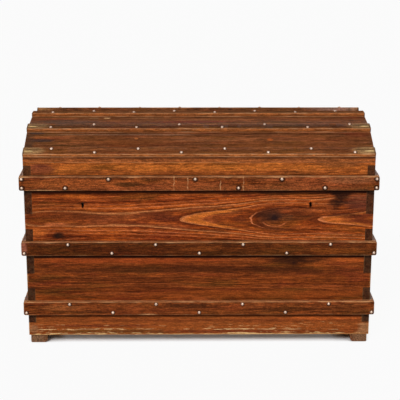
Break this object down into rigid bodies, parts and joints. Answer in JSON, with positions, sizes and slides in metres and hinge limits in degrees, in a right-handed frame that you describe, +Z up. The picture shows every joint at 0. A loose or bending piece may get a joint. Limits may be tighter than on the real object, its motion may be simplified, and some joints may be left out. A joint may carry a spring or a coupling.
{
  "type": "wooden trunk",
  "caption": "Low wide pine trunk with a faceted hinged lid, nailed battens and slats, finger-jointed corners, inside locks, end handles and skid feet.",
  "frame": {"origin": "on the floor under the middle of the trunk", "axes": "+X to the right seen from the front, +Y to the back, +Z up"},
  "size_m": [1.031, 0.551, 0.6421],
  "materials": {
    "wall_pine": "stained and waxed pine, worn",
    "lid_top_pine": "stained pine, dull and faded on top",
    "batten_pine": "dark stained pine, pale worn edges",
    "skid_pine": "rough worn pine",
    "bare_pine": "unfinished aged pine",
    "nail_steel": "domed bright steel",
    "dark_iron": "dark forged iron",
    "lock_steel": "dull sheet steel",
    "lock_brass": "dull brass"
  },
  "bodies": {
    "trunk": {"back_lower_batten": "batten_pine", "back_lower_board": "wall_pine", "back_middle_batten": "batten_pine", "back_upper_board": "wall_pine", "body_nails": "nail_steel", "body_screws": "dark_iron", "bottom_board_1": "bare_pine", "bottom_board_2": "bare_pine", "bottom_board_3": "bare_pine", "front_lower_batten": "batten_pine", "front_lower_board": "wall_pine", "front_middle_batten": "batten_pine", "front_upper_board": "wall_pine", "left_handle_plate": "dark_iron", "left_hinge_body_leaf": "dark_iron", "left_hinge_pin": "dark_iron", "left_lock_case": "lock_steel", "left_lower_batten": "batten_pine", "left_lower_board": "wall_pine", "left_middle_batten": "batten_pine", "left_skid": "skid_pine", "left_upper_board": "wall_pine", "right_handle_plate": "dark_iron", "right_hinge_body_leaf": "dark_iron", "right_hinge_pin": "dark_iron", "right_lock_case": "lock_steel", "right_lower_batten": "batten_pine", "right_lower_board": "wall_pine", "right_middle_batten": "batten_pine", "right_skid": "skid_pine", "right_upper_board": "wall_pine", "skid_nails": "dark_iron"},
    "lid": {"back_eave_slat": "lid_top_pine", "back_lower_roof_board": "lid_top_pine", "back_ridge_slat": "lid_top_pine", "back_upper_roof_board": "lid_top_pine", "crest_slat": "lid_top_pine", "front_eave_slat": "lid_top_pine", "front_lower_roof_board": "lid_top_pine", "front_ridge_slat": "lid_top_pine", "front_upper_roof_board": "lid_top_pine", "left_hinge_lid_leaf": "dark_iron", "left_lock_staple": "lock_brass", "lid_back_batten": "batten_pine", "lid_back_rim": "wall_pine", "lid_batten_nails": "nail_steel", "lid_front_batten": "batten_pine", "lid_front_rim": "wall_pine", "lid_left_batten": "batten_pine", "lid_left_gable": "wall_pine", "lid_right_batten": "batten_pine", "lid_right_gable": "wall_pine", "lid_screws": "dark_iron", "right_hinge_lid_leaf": "dark_iron", "right_lock_staple": "lock_brass", "slat_nails": "nail_steel"},
    "left_bolt": {"left_lock_bolt": "lock_brass"},
    "right_bolt": {"right_lock_bolt": "lock_brass"},
    "left_bail": {"left_handle_bail": "dark_iron"},
    "right_bail": {"right_handle_bail": "dark_iron"}
  },
  "joints": [
    {"name": "lid_hinge", "type": "hinge", "parent": "trunk", "child": "lid", "pos_m": [0, 0.264, 0.4663], "axis": [-1, 0, 0], "range_deg": [0, 98]},
    {"name": "left_bolt_slide", "type": "slide", "parent": "trunk", "child": "left_bolt", "axis": [1, 0, 0], "range_m": [0, 0.011]},
    {"name": "right_bolt_slide", "type": "slide", "parent": "trunk", "child": "right_bolt", "axis": [1, 0, 0], "range_m": [0, 0.011]},
    {"name": "left_bail_swing", "type": "hinge", "parent": "trunk", "child": "left_bail", "pos_m": [-0.509, 0, 0.4], "axis": [0, 1, 0], "range_deg": [0, 90]},
    {"name": "right_bail_swing", "type": "hinge", "parent": "trunk", "child": "right_bail", "pos_m": [0.509, 0, 0.4], "axis": [0, -1, 0], "range_deg": [0, 90]}
  ]
}
